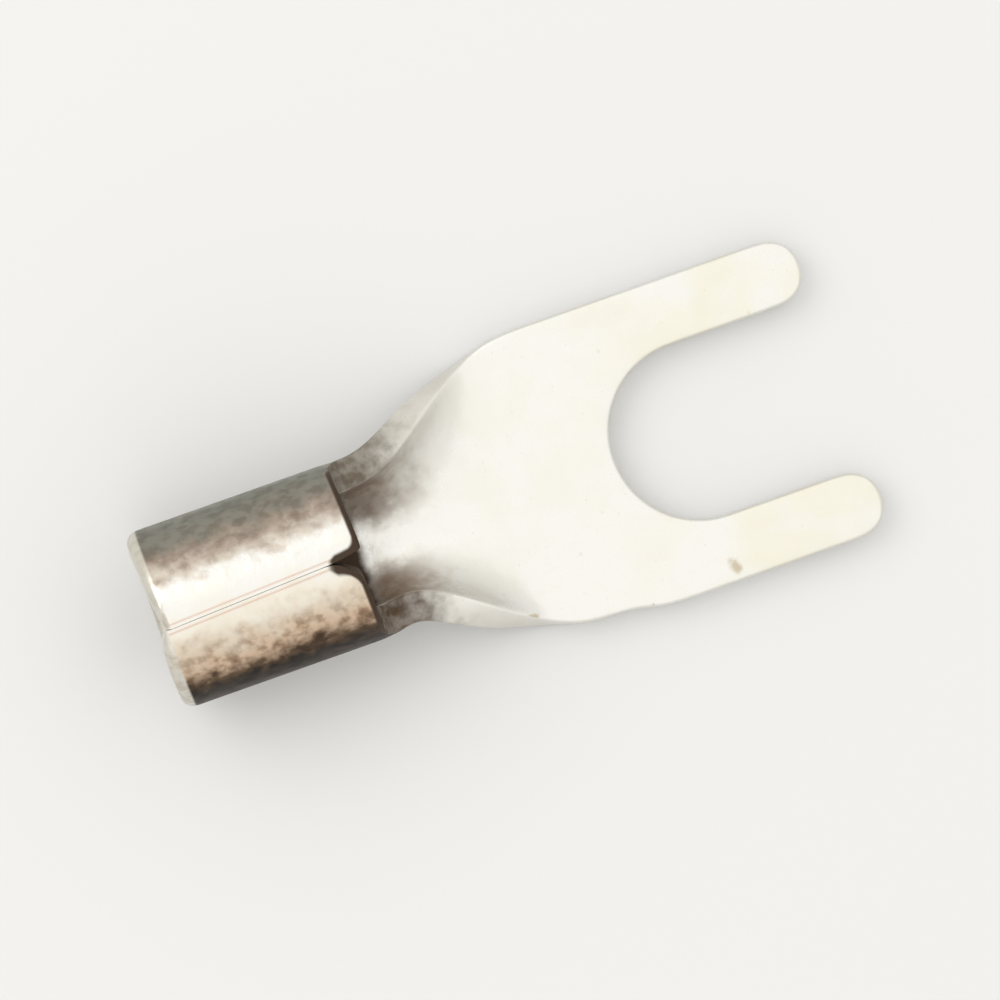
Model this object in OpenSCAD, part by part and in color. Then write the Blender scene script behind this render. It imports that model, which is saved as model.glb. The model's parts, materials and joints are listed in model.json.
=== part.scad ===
// Bare fork terminal for a stranded wire: one piece of tinned copper sheet, stamped as a
// flat blank, its tail rolled into a butted barrel and its neck left as an open trough.
//
// Frame: origin on the axis of the screw, at the underside of the tongue. +X points to
// the prong tips, +Z up through the screw, and the terminal lies on the plane Z = 0.

/* [Sheet] */
// Thickness of the copper sheet
sheet_t = 1.0; // [0.7:0.05:1.2]

/* [Fork] */
// Width across the two prongs
fork_w = 9.6; // [8.8:0.1:11.5]
// Width of the slot that straddles the screw
slot_w = 5.5; // [4.3:0.1:6.4]
// Depth of the slot, from the prong tips to its round bottom
slot_depth = 7.4; // [6.5:0.1:10]
// Flat web from the bottom of the slot back to the shoulders
web_len = 1.9; // [1.2:0.1:4]

/* [Neck] */
// Length from the shoulders back to the front edge of the barrel
neck_len = 6.5; // [6:0.1:9]
// Width of the blank where the neck leaves the barrel
neck_w = 6.9; // [5.6:0.1:8]
// Length over which the trough opens out from the barrel's round to flat
form_len = 5.5; // [4:0.1:5.8]
// Length over which each flank rounds off into its shoulder
shoulder_run = 0.7; // [0.3:0.1:1.2]
// Radius of the relief between the neck and the barrel's front edge
relief_r = 0.6; // [0.3:0.05:0.9]

/* [Barrel] */
// Inside diameter of the wire barrel
bore_d = 3.6; // [3.2:0.1:4.4]
// Length of the wire barrel
barrel_len = 6.5; // [5.6:0.1:8]
// Gap left between the two rolled edges
seam_gap = 0.06; // [0.04:0.02:0.3]
// Break of the rolled edges along the outside of the seam
seam_break = 0.14; // [0.1:0.02:0.4]
// Angle by which the seam lies to the right of the barrel's top, seen from the mouth
seam_turn = 8; // [0:1:12]
// Length of the notch where the seam ends at the barrel's front edge
notch_len = 0.7; // [0.3:0.05:1]
// Reach of that notch into the left rolled edge, seen from the mouth
notch_left = 0.62; // [0.2:0.02:0.8]
// Reach of that notch into the right rolled edge
notch_right = 0.3; // [0.2:0.02:0.8]
// Corner cut off each rolled edge where the seam ends at the mouth
mouth_corner = 0.32; // [0.2:0.02:0.5]
// How far the roll is skewed: the left rolled edge lies this much ahead of the right one
roll_skew = 0.26; // [0.05:0.01:0.4]
// Break of the mouth's outer edge
rim_break = 0.3; // [0.1:0.02:0.35]
// Chamfer at the mouth's inner edge, which leads the wire in
lead_in = 0.2; // [0.1:0.02:0.25]

/* [Serrations] */
// Grooves pressed across the inside of the barrel
groove_count = 4; // [2:1:4]
// Distance from one groove to the next
groove_pitch = 1.1; // [0.9:0.05:1.2]
// Width of a groove at the bore
groove_w = 0.5; // [0.3:0.05:0.6]
// Depth of a groove
groove_depth = 0.2; // [0.1:0.02:0.3]

/* [Hidden] */
$fn = 96;

tin = [0.80, 0.77, 0.72];

// Stations along the terminal
slot_r = slot_w / 2;
slot_bottom_x = -slot_r;
shoulder_x = slot_bottom_x - web_len;
barrel_front_x = shoulder_x - neck_len;
barrel_rear_x = barrel_front_x - barrel_len;
tip_x = slot_depth - slot_r;
prong_w = (fork_w - slot_w) / 2;

// Round of the barrel, whose lowest line lies on the plane of the tongue's underside
bore_r = bore_d / 2;
barrel_r = bore_r + sheet_t;
fold_r = bore_r + sheet_t / 2;
// Height on the barrel's ends above which the rolled edges are free of the neck
free_z = barrel_r * (1 - cos((neck_w / 2 + relief_r) / fold_r * 180 / PI));

// Steps of the neck's loft, across and along the sheet
cross_steps = 32;
relief_steps = 4;
flank_steps = 22;
// How far the loft lies inside the barrel's wall where the two join, and how far in it runs
skin = 0.02;
tenon_len = 0.4;
tenon_skin = 0.12;
// Cutters run past the faces that they open
past = 1;

// From 0 to 1 with no corner and no jump in bend at either end
function ease(t) = t * t * t * (10 + t * (6 * t - 15));

// The lesser of two lengths, with the corner between them rounded over the reach k
function soft_blend(a, b, k) = max(0, min(1, 0.5 + (b - a) / (2 * k)));
function soft_min(a, b, k) =
    let (h = soft_blend(a, b, k)) b + (a - b) * h - k * h * (1 - h);

// The blank's half width at a distance x ahead of the barrel: a flank that widens to the
// shoulder, and the relief that rounds it into the barrel's front edge
flare_len = neck_len - shoulder_run;
function flank(x) = neck_w / 2 + (fork_w - neck_w) / 2 * pow(x / flare_len, 2);
shoulder_reach = flank(neck_len) - fork_w / 2;
function relief(x) =
    x < relief_r ? relief_r - sqrt(pow(relief_r, 2) - pow(relief_r - x, 2)) : 0;
function blank_half(x) = soft_min(flank(x), fork_w / 2, shoulder_reach) + relief(x);

// The sheet's bend across the neck, as one over its radius
function bend(x) = (1 - ease(min(1, x / form_len))) / fold_r;

// A point of the neck's section: s runs across the sheet, and off is the height above its
// middle. A flat sheet and a bent one use the same rule, with the bend's limit at none.
flat_bend = 1e-6;
function fold_y(s, k) = k < flat_bend ? s : sin(s * k * 180 / PI) / k;
function fold_z(s, k) = k < flat_bend ? 0 : (1 - cos(s * k * 180 / PI)) / k;
function sheet_point(x, s, k, off) =
    let (a = s * k * 180 / PI)
    [barrel_front_x + x, fold_y(s, k) - off * sin(a), sheet_t / 2 + fold_z(s, k) + off * cos(a)];

// One closed section of the sheet at x, its walls drawn in by inset on every side
function section(x, inset) =
    let (k = bend(max(0, x)), half = blank_half(max(0, x)) - inset, off = sheet_t / 2 - inset)
    concat(
        [for (j = [0:cross_steps]) sheet_point(x, half * (2 * j / cross_steps - 1), k, -off)],
        [for (j = [0:cross_steps]) sheet_point(x, half * (1 - 2 * j / cross_steps), k, off)]
    );

// Stations of the loft ahead of the barrel: close together round the relief, then even
relief_stations = [for (i = [0:relief_steps]) relief_r * (1 - cos(90 * i / relief_steps))];
flank_stations = [for (i = [1:flank_steps]) relief_r + (neck_len - relief_r) * i / flank_steps];
stations = concat(relief_stations, flank_stations);
// The loft keeps clear of the barrel's own faces at the join and reaches full size ahead of it
function skin_at(x) = skin * max(0, 1 - x / relief_r);

// Joins closed sections of equal count into one solid
module loft(sections) {
    count = len(sections[0]);
    half = count / 2;
    last = len(sections) - 1;
    // Each wall panel is split so that the two halves of the sheet mirror each other
    walls = [
        for (i = [0:last - 1], j = [0:count - 1])
            let (a = i * count + j, b = i * count + (j + 1) % count, k = j % half)
            each k < (half - 1) / 2 != j < half
                ? [[a, a + count, b], [b, a + count, b + count]]
                : [[a, a + count, b + count], [a, b + count, b]]
    ];
    caps = [
        for (j = [0:half - 2])
            each [
                [j, j + 1, count - 2 - j, count - 1 - j],
                [for (v = [j, count - 1 - j, count - 2 - j, j + 1]) v + last * count]
            ]
    ];
    polyhedron(points = [for (s = sections) each s], faces = concat(walls, caps));
}

// Flat fork: two prongs with round tips, the slot between them and the web behind it
module tongue() {
    linear_extrude(sheet_t) difference() {
        union() {
            translate([shoulder_x, -fork_w / 2])
                square([tip_x - prong_w / 2 - shoulder_x, fork_w]);
            for (side = [-1, 1])
                translate([tip_x - prong_w / 2, side * (slot_w + prong_w) / 2])
                    circle(d = prong_w);
        }
        circle(r = slot_r);
        translate([0, -slot_r]) square([tip_x + past, slot_w]);
    }
}

// Trough that opens out from the barrel to the flat tongue, with a tenon into the barrel's wall
module neck() {
    loft(concat(
        [section(-tenon_len, tenon_skin)],
        [for (x = stations) section(x, skin_at(x))]
    ));
}

// Section of the rolled barrel, seen along its axis: a ring with the seam near its top
module barrel_section() {
    mouth = seam_gap / 2 + seam_break;
    difference() {
        circle(r = barrel_r);
        circle(r = bore_r);
        rotate(seam_turn) {
            translate([-seam_gap / 2, 0]) square([seam_gap, barrel_r + past]);
            polygon([
                [0, barrel_r - mouth],
                [mouth + past, barrel_r + past],
                [-mouth - past, barrel_r + past]
            ]);
        }
    }
}

// A ring round the barrel's axis, cut to a profile of distance along it and radius
module ring(profile) {
    translate([barrel_rear_x, 0, barrel_r])
        rotate([0, 90, 0])
            rotate_extrude()
                polygon([for (p = profile) [p[1], p[0]]]);
}

// Cuts that break the mouth's outer edge and lead the wire in at its inner edge
module mouth_cut() {
    ring([
        [-past, barrel_r - rim_break - past],
        [rim_break + past, barrel_r + past],
        [-past, barrel_r + past]
    ]);
    ring([
        [-past, bore_r + lead_in + past],
        [lead_in + bore_r, 0],
        [-past, 0]
    ]);
}

// Grooves that bite into the wire when the barrel is crimped
module serrations() {
    first = barrel_len / 2 - groove_pitch * (groove_count - 1) / 2;
    for (i = [0:groove_count - 1]) {
        mid = first + i * groove_pitch;
        floor_w = groove_w / 3;
        ring([
            [mid - groove_w / 2, bore_r],
            [mid - floor_w / 2, bore_r + groove_depth],
            [mid + floor_w / 2, bore_r + groove_depth],
            [mid + groove_w / 2, bore_r],
            [mid + groove_w / 2, 0],
            [mid - groove_w / 2, 0]
        ]);
    }
}

// Notch at one end of the seam: into is its length along the barrel, from the end at x
module seam_notch(x, into, left, right) {
    out = into > 0 ? -past : past;
    spread = (into - out) / into;
    translate([x, 0, barrel_r])
        linear_extrude(barrel_r + past)
            polygon([[into, 0], [out, left * spread], [out, -right * spread]]);
}

// Slant at the mouth that lets the left rolled edge stop short of the right one
module skew_cut() {
    slope = roll_skew / (2 * barrel_r - free_z);
    top = 2 * barrel_r + past;
    translate([barrel_rear_x, barrel_r + past, 0])
        rotate([90, 0, 0])
            linear_extrude(barrel_r + past)
                polygon([
                    [-past, free_z - past / slope],
                    [slope * (top - free_z), top],
                    [-past, top]
                ]);
}

// Turns what belongs to the seam about the barrel's axis, from the top to its place
module at_seam() {
    translate([0, 0, barrel_r]) rotate([seam_turn, 0, 0]) translate([0, 0, -barrel_r]) children();
}

// Tail of the blank, rolled until its edges butt near the top
module barrel() {
    corner = seam_gap / 2 + mouth_corner;
    difference() {
        translate([barrel_rear_x, 0, barrel_r])
            rotate([90, 0, 90])
                linear_extrude(barrel_len) barrel_section();
        mouth_cut();
        serrations();
        at_seam() {
            skew_cut();
            // The same slant, turned half round, lets the right rolled edge stop short at the front
            translate([barrel_rear_x + barrel_front_x, 0, 0]) rotate([0, 0, 180]) skew_cut();
            seam_notch(barrel_rear_x, roll_skew + mouth_corner, corner, corner);
            seam_notch(barrel_front_x, -notch_len, notch_left, notch_right);
        }
    }
}

module fork_terminal() {
    color(tin) union() {
        tongue();
        neck();
        barrel();
    }
}

fork_terminal();
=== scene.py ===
# %% [markdown]
# # A bare fork terminal
#
# A fork terminal is stamped from one copper sheet, rolled and tin plated. Its fork slides under a screw
# and its barrel is crimped on a wire. This lesson models it in Blender the way a press makes it: the
# tail is rolled, the neck is drawn out of it, and the flat fork follows. The sheet gets its thickness
# and its soft edges last, and then its worn tin, with shade painted into its colour round the barrel.
#
# The imported solid is the frame. It gives the true size, and nothing made here may grow past it.

# %% Load the frame
import json
import math

import bmesh
import bpy
from mathutils import Matrix, Vector


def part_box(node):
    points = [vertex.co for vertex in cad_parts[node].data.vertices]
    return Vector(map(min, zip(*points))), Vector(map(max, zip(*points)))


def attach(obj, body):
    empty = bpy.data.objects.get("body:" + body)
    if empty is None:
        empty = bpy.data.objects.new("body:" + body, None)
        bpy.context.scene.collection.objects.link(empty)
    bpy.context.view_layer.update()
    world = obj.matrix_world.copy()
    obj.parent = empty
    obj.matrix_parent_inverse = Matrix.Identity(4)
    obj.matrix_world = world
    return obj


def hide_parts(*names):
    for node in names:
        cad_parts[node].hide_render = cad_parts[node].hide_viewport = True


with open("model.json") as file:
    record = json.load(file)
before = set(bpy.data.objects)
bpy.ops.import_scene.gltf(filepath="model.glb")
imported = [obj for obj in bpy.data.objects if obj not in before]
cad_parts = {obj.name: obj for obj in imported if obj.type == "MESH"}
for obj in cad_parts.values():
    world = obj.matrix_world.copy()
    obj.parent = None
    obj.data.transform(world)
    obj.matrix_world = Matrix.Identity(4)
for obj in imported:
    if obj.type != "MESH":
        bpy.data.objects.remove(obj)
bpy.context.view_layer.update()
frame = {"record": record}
scene = bpy.context.scene
scene.view_settings.view_transform = "Standard"

# %% [markdown]
# ## Sizes
#
# The screw's slot, the wire's bore and the sheet's thickness are the terminal's mounts, so the record
# holds them. The box of the solid gives the reach of the barrel and the prongs. Only the blank between
# them needs sizes of its own.

# %% Sizes that the frame gives
MM = 0.001
mounts = {m["name"]: m for m in frame["record"]["mounts"]}
slot_r = mounts["stud_slot"]["dims"]["r_mm"] * MM
sheet_t = mounts["stud_slot"]["dims"]["length_mm"] * MM
bore_r = mounts["wire_barrel"]["dims"]["r_mm"] * MM
axis_z = mounts["wire_barrel"]["pos_m"][2]
box_low, box_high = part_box("fork_terminal")
mouth_x = box_low.x
tip_x = box_high.x
fork_half = box_high.y
fold_r = bore_r + sheet_t / 2
print("radius of slot and bore, and sheet, in mm:", [round(v / MM, 2) for v in (slot_r, bore_r, sheet_t)])

# %% Sizes of the blank
barrel_len = 6.5 * MM
neck_len = 6.5 * MM
neck_half = 3.45 * MM
# How far ahead of the barrel the sheet is still bent
form_len = 5.5 * MM
# How far before the shoulders the neck's flanks would reach the fork's full width
shoulder_run = 0.7 * MM
# The seam's width, its turn to the right of the barrel's top, and how far the roll is askew at the mouth
seam_gap = 0.006 * MM
seam_turn = math.radians(8)
roll_skew = 0.26 * MM
front_x = mouth_x + barrel_len
shoulder_x = front_x + neck_len
print("barrel front and shoulders at x, in mm:", round(front_x / MM, 2), round(shoulder_x / MM, 2))

# %% [markdown]
# ## The camera
#
# The photograph looks almost straight down on the terminal, a little from behind its mouth, with the
# prongs pointing right and up. So the camera is not aimed with a track constraint: its three axes are
# worked out from those two angles and set as a matrix. A long lens keeps the barrel, which is nearer,
# from looking too big.

# %% Camera
VIEW_LEAN = math.radians(2.5)
FORK_ANGLE = math.radians(19.5)
FIELD = 30.5 * MM
LENS_MM = 180.0
SENSOR_MM = 36.0
LOOK_HEIGHT = 1.6 * MM
view_from = Vector((-math.sin(VIEW_LEAN), 0, math.cos(VIEW_LEAN)))
look_at = Vector(((mouth_x + tip_x) / 2, 0, LOOK_HEIGHT))

along = (Vector((1, 0, 0)) - view_from * view_from.x).normalized()
across = view_from.cross(along)
right = along * math.cos(FORK_ANGLE) - across * math.sin(FORK_ANGLE)
up = along * math.sin(FORK_ANGLE) + across * math.cos(FORK_ANGLE)
camera_at = look_at + view_from * (FIELD * LENS_MM / SENSOR_MM)

camera_data = bpy.data.cameras.new("camera")
camera_data.lens = LENS_MM
camera_data.sensor_width = SENSOR_MM
camera_data.clip_start = 1 * MM
camera = bpy.data.objects.new("camera", camera_data)
scene.collection.objects.link(camera)
turn = Matrix((right, up, view_from)).transposed()
camera.matrix_world = Matrix.Translation(camera_at) @ turn.to_4x4()
scene.camera = camera
print("camera stands off by", round((camera_at - look_at).length / MM), "mm")

# %% [markdown]
# ## Node helpers
#
# Shaders here are built from a few kinds of node again and again. A short function for each kind keeps
# the recipes readable: each takes plain values or the outputs of other nodes, and gives back its result.

# %% Node helpers
def feed(tree, source, socket):
    """Join a node's output to a socket, or set the socket to a plain value."""
    if isinstance(source, bpy.types.NodeSocket):
        tree.links.new(source, socket)
    else:
        socket.default_value = source


def calc(tree, operation, *terms):
    """Result of a Math node."""
    node = tree.nodes.new("ShaderNodeMath")
    node.operation = operation
    for term, socket in zip(terms, node.inputs):
        feed(tree, term, socket)
    return node.outputs[0]


def ramp(tree, value, start, end):
    """0 before start, 1 past end and a soft step between. End may be the lower one."""
    node = tree.nodes.new("ShaderNodeMapRange")
    node.interpolation_type = "SMOOTHSTEP"
    feed(tree, value, node.inputs["Value"])
    feed(tree, start, node.inputs["From Min"])
    feed(tree, end, node.inputs["From Max"])
    return node.outputs["Result"]


def blend(tree, amount, one, other, mode="MIX"):
    """Mix two colours by an amount from 0 to 1."""
    node = tree.nodes.new("ShaderNodeMix")
    node.data_type = "RGBA"
    node.blend_type = mode
    for source, socket in zip((amount, one, other), (node.inputs[0], node.inputs[6], node.inputs[7])):
        feed(tree, source, socket)
    return node.outputs[2]


def vector_calc(tree, operation, one, other, output=0):
    """Result of a Vector Math node that takes two vectors."""
    node = tree.nodes.new("ShaderNodeVectorMath")
    node.operation = operation
    feed(tree, one, node.inputs[0])
    feed(tree, other, node.inputs[1])
    return node.outputs[output]


# %% [markdown]
# ## Floor and light
#
# Bare metal has little colour of its own: it shows what is around it. A tent of soft light with a bright
# roof, an even dome and a slightly dimmer horizon gives a flat face one even tone and a round barrel a
# bright band. The three differ only a little, so the barrel's dark sides are not made by the light: they
# are painted into its colour, partly as tarnish and partly as painted shade and reflection. A bowl with
# glowing walls would do, but here the tent is made in the world's shader, from the direction of each ray,
# so it is as even far from the terminal as near it. One large lamp from the side adds a soft shadow.

# %% World: a bright roof, an even dome and a dimmer horizon
HORIZON_LIGHT = (0.92, 0.91, 0.885, 1)
# Each light: its lean to the left, where it starts to fade and where it ends, in degrees, and its colour
DOME = (0, 60, 84, (1.07, 1.06, 1.025, 1))
ROOF = (4, 28, 50, (1.29, 1.28, 1.25, 1))

world = bpy.data.worlds.new("soft_tent")
world.use_nodes = True
scene.world = world
tree = world.node_tree
tree.nodes.clear()
ray = tree.nodes.new("ShaderNodeTexCoord").outputs["Generated"]
tent = HORIZON_LIGHT
for lean, full, end, light in (DOME, ROOF):
    centre = Vector((0, math.sin(math.radians(lean)), math.cos(math.radians(lean))))
    facing = vector_calc(tree, "DOT_PRODUCT", ray, centre, "Value")
    inside = ramp(tree, facing, math.cos(math.radians(end)), math.cos(math.radians(full)))
    tent = blend(tree, inside, tent, light)
glow = tree.nodes.new("ShaderNodeBackground")
feed(tree, tent, glow.inputs["Color"])
feed(tree, glow.outputs["Background"], tree.nodes.new("ShaderNodeOutputWorld").inputs["Surface"])
print("roof over horizon:", round(ROOF[-1][0] / HORIZON_LIGHT[0], 2))

# %% Lamp
LAMP_AT = Vector((-0.16, 0.14, 0.22))
LAMP_SIZE = 0.24
LAMP_POWER = 0.20

lamp_data = bpy.data.lights.new("side_lamp", "AREA")
lamp_data.shape = "DISK"
lamp_data.size = LAMP_SIZE
lamp_data.energy = LAMP_POWER
lamp = bpy.data.objects.new("side_lamp", lamp_data)
scene.collection.objects.link(lamp)
lamp.location = LAMP_AT
lamp.rotation_euler = (LAMP_AT - look_at).to_track_quat("Z", "Y").to_euler()
print("lamp stands off by", round((LAMP_AT - look_at).length / MM), "mm")

# %% Floor
FLOOR_SIZE = 6.0
FLOOR_DROP = 0.01 * MM
FLOOR_TONE = 0.70
FLOOR_ROUGHNESS = 0.9
FLOOR_SHINE = 0.1

bpy.ops.object.select_all(action="DESELECT")
bpy.ops.mesh.primitive_plane_add(size=FLOOR_SIZE, location=(0, 0, -FLOOR_DROP))
floor = bpy.context.object
floor.name = "floor"
paper = bpy.data.materials.new("pale_floor")
paper.use_nodes = True
paper_skin = paper.node_tree.nodes["Principled BSDF"]
paper_skin.inputs["Base Color"].default_value = (FLOOR_TONE, FLOOR_TONE, FLOOR_TONE, 1)
paper_skin.inputs["Roughness"].default_value = FLOOR_ROUGHNESS
paper_skin.inputs["Specular IOR Level"].default_value = FLOOR_SHINE
floor.data.materials.append(paper)
print("floor is", FLOOR_SIZE, "m wide")

# %% [markdown]
# ## How the sheet is bent
#
# Across the neck the sheet is an arc that opens as it leaves the barrel. Two rules describe it: how wide
# the flat blank is at each station, and how sharply the sheet is bent there. Both run smoothly to their
# ends, so that the neck has no crease where it meets the barrel or the tongue.
#
# The piece is a coarse cage that a Subdivision Surface rounds off at the end. That pulls a ring of
# points inwards, so each ring is drawn a little large, by an amount that depends only on its step.

# %% Rules of the bent sheet
NECK_COLUMNS = 8
WING_COLUMNS = 6
HALF_COLUMNS = NECK_COLUMNS + WING_COLUMNS
seam_angle = seam_gap / 2 / fold_r
column_angle = (math.pi - seam_angle) / HALF_COLUMNS
relief_r = NECK_COLUMNS * column_angle * fold_r - neck_half


def ease(t):
    """From 0 to 1 with no corner and no jump in bend at either end."""
    t = max(0, min(1, t))
    return t**3 * (10 + t * (6 * t - 15))


def soft_min(a, b, reach):
    """The lesser of two lengths, with the corner between them rounded."""
    h = max(0, min(1, 0.5 + (b - a) / (2 * reach)))
    return b + (a - b) * h - reach * h * (1 - h)


def flank(x):
    """Half width of the neck at x ahead of the barrel, before the shoulder rounds it off."""
    return neck_half + (fork_half - neck_half) * (x / (neck_len - shoulder_run)) ** 2


def blank_half(x):
    """Half width of the flat blank at x ahead of the barrel, with the relief beside it."""
    relief = relief_r - math.sqrt(relief_r**2 - (relief_r - x) ** 2) if x < relief_r else 0
    return soft_min(flank(x), fork_half, flank(neck_len) - fork_half) + relief


def bend(x):
    """How sharply the sheet is bent at x ahead of the barrel, as one over its radius."""
    return (1 - ease(x / form_len)) / fold_r


def ring_grow(step):
    """How much larger a ring with this step has to be drawn to round off to its true size."""
    return 3 / (2 + math.cos(step))


def neck_point(x, share):
    """A point of the sheet's middle at x ahead of the barrel. share runs from -1 to 1 across."""
    half = blank_half(x)
    k = bend(x)
    if k * half < 1e-6:
        return Vector((front_x + x, share * half, sheet_t / 2))
    radius = ring_grow(half / NECK_COLUMNS * k) / k
    angle = share * half * k
    height = sheet_t / 2 + 1 / k - radius * math.cos(angle)
    return Vector((front_x + x, radius * math.sin(angle), height))


print("relief beside the neck, in mm:", round(relief_r / MM, 2))

# %% [markdown]
# ## Edit-mode helpers
#
# Operators act on what is selected, so each step first picks its vertices or edges by their place. A few
# numbers ride on every vertex: its share across the sheet, its share towards the slot, its angle round
# the wire, and whether it is on a rim of the barrel or on the mouth's end. Extruding and thickening copy
# them to the new vertices, which then know where they belong.

# %% Edit-mode helpers
ACROSS = "share_across"
INWARD = "share_inward"
ANGLE = "roll_angle"
RIM = "barrel_rim"
END = "mouth_end"
TINY = 1e-6


def edit(piece):
    """Make a piece the only one selected, and open it in edit mode."""
    bpy.ops.object.select_all(action="DESELECT")
    piece.select_set(True)
    bpy.context.view_layer.objects.active = piece
    bpy.ops.object.mode_set(mode="EDIT")


def share(vertex, mesh, name):
    """Read one of the numbers that ride on a vertex."""
    return vertex[mesh.verts.layers.float[name]]


def pick_edges(piece, wanted):
    """Select the edges whose two ends are both wanted. wanted is asked about a vertex and its mesh."""
    bpy.ops.mesh.select_mode(type="EDGE")
    bpy.ops.mesh.select_all(action="DESELECT")
    mesh = bmesh.from_edit_mesh(piece.data)
    for edge in mesh.edges:
        if all(wanted(v, mesh) for v in edge.verts):
            edge.select_set(True)
    bmesh.update_edit_mesh(piece.data)


def place(piece, where):
    """Move each selected vertex to the point that where gives for it and its mesh."""
    mesh = bmesh.from_edit_mesh(piece.data)
    for vertex in mesh.verts:
        if vertex.select:
            vertex.co = where(vertex, mesh)
    bmesh.update_edit_mesh(piece.data)


def grow_row(piece, where):
    """Extrude the selected edges and put each new vertex in its place."""
    bpy.ops.mesh.extrude_edges_move(TRANSFORM_OT_translate={"value": (TINY, 0, 0)})
    place(piece, where)


# %% [markdown]
# ## The barrel
#
# The tail of the blank is rolled until its edges butt. Bending a grid would do it, but one line of
# points along the seam, spun round the wire's axis, gives a truer round. The line has a point at each
# edge of the grooves that will be pressed into the bore, and a few near the ends of the seam.

# %% Stations along the barrel
GROOVES = 4
groove_pitch = 1.1 * MM
groove_half = 0.25 * MM
groove_floor = 0.083 * MM
groove_mids = [barrel_len / 2 + groove_pitch * (i - (GROOVES - 1) / 2) for i in range(GROOVES)]
groove_edges = (-groove_half, -groove_floor, groove_floor, groove_half)
mouth_rows = [0, 0.26 * MM, 0.55 * MM]
groove_rows = [mid + edge for mid in groove_mids for edge in groove_edges]
notch_len = 0.7 * MM
seam_len = barrel_len - notch_len
front_rows = [seam_len, barrel_len - notch_len / 2, barrel_len]
rows = [mouth_x + d for d in (*mouth_rows, *groove_rows, *front_rows)]
print("rows along the barrel:", len(rows))

# %% Spin the barrel
# A touch under the true radius, so that the rounded cage stays inside the solid's box
ROUND_TRIM = 0.998
SPIN_GAP = math.radians(4)
cage_r = fold_r * ring_grow(column_angle) * ROUND_TRIM
spin_half = math.pi - SPIN_GAP / 2
bpy.ops.object.select_all(action="DESELECT")
bpy.ops.mesh.primitive_plane_add(size=barrel_len, location=(mouth_x + barrel_len / 2, 0, axis_z))
terminal = bpy.context.object
terminal.name = "fork_terminal_tinned"
bpy.ops.object.transform_apply(location=True, rotation=True, scale=True)

edit(terminal)
bpy.ops.mesh.select_mode(type="VERT")
bpy.ops.mesh.select_all(action="DESELECT")
mesh = bmesh.from_edit_mesh(terminal.data)
for vertex in mesh.verts:
    vertex.select_set(vertex.co.y < 0)
bmesh.update_edit_mesh(terminal.data)
bpy.ops.mesh.delete(type="VERT")
bpy.ops.mesh.select_all(action="SELECT")
bpy.ops.mesh.subdivide(number_cuts=len(rows) - 2)

mesh = bmesh.from_edit_mesh(terminal.data)
for vertex, x in zip(sorted(mesh.verts, key=lambda v: v.co.x), rows):
    vertex.co = (x, cage_r * math.sin(spin_half), axis_z - cage_r * math.cos(spin_half))
bmesh.update_edit_mesh(terminal.data)
bpy.ops.mesh.select_all(action="SELECT")
bpy.ops.mesh.spin(
    steps=2 * HALF_COLUMNS,
    angle=2 * spin_half,
    center=(0, 0, axis_z),
    axis=(1, 0, 0),
)
mesh = bmesh.from_edit_mesh(terminal.data)
print("barrel cage:", len(mesh.verts), "points,", len(mesh.faces), "faces")

# %% [markdown]
# The columns are numbered from the lowest line, positive to the left. The spin left a gap between the two
# rolled edges, so that they aren't taken for one. Now the columns are placed at their true angles, which
# closes it. The seam doesn't lie on top of the barrel but a little to the right, so the left wing reaches
# past the top and the right one stops short of it. Each column of the wings takes its share of that turn.

# %% Number the columns and turn the seam
def wing_share(column):
    """0 where the wing leaves the neck's columns, 1 at the rolled edge."""
    return max(0, (abs(column) - NECK_COLUMNS) / WING_COLUMNS)


def roll_angle(column):
    """Angle round the wire's axis, from the lowest line."""
    return column * column_angle + seam_turn * wing_share(column)


def ring_point(x, angle, radius):
    """A point at a distance from the wire's axis."""
    return Vector((x, radius * math.sin(angle), axis_z - radius * math.cos(angle)))


def column_of(vertex, mesh):
    """Number of the column that a vertex belongs to."""
    return round(share(vertex, mesh, ACROSS) * NECK_COLUMNS)


mesh = bmesh.from_edit_mesh(terminal.data)
for name in (ACROSS, INWARD, ANGLE, RIM, END):
    mesh.verts.layers.float.new(name)
layer = mesh.verts.layers.float[ACROSS]
for vertex in mesh.verts:
    column = round(math.atan2(vertex.co.y, axis_z - vertex.co.z) / spin_half * HALF_COLUMNS)
    vertex[layer] = column / NECK_COLUMNS
bmesh.update_edit_mesh(terminal.data)
bpy.ops.mesh.select_all(action="SELECT")
place(terminal, lambda v, m: ring_point(v.co.x, roll_angle(column_of(v, m)), cage_r))
mesh = bmesh.from_edit_mesh(terminal.data)
columns = {column_of(v, mesh) for v in mesh.verts}
print("columns from", min(columns), "to", max(columns))

# %% [markdown]
# ## The neck
#
# The lower part of the barrel's front edge is drawn forward, row by row, and each row is opened a little
# more by the rules above. The first rows are close together, so that the corner between the neck and the
# barrel's free edge rounds off as the press leaves it.

# %% Draw out the neck
NECK_ROWS = 10
FIRST_ROW_SHARE = 0.4
neck_rows = [relief_r * FIRST_ROW_SHARE]
neck_rows += [relief_r + (neck_len - relief_r) * i / NECK_ROWS for i in range(NECK_ROWS + 1)]

pick_edges(terminal, lambda v, m: v.co.x > front_x - TINY and abs(column_of(v, m)) <= NECK_COLUMNS)
for x in neck_rows:
    grow_row(terminal, lambda v, m: neck_point(x, share(v, m, ACROSS)))
print("rows in the neck:", len(neck_rows))

# %% [markdown]
# ## The tongue and its slot
#
# The rows now turn from straight to round: three more rows shrink from the line of the shoulders to the
# bottom of the slot. That way the edges run round the slot, as they would if they were drawn by hand,
# and the round bottom needs no boolean.

# %% Close in on the slot
SLOT_LAYERS = 3
SIDE_SPOKES = 5
spoke_angle = math.pi / 2 / (NECK_COLUMNS + SIDE_SPOKES)


def slot_point(spoke):
    """A point on the slot's round bottom. Spokes count from the centre line, negative on the right."""
    angle = math.pi - spoke * spoke_angle
    return Vector((slot_r * math.cos(angle), slot_r * math.sin(angle), sheet_t / 2))


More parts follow.
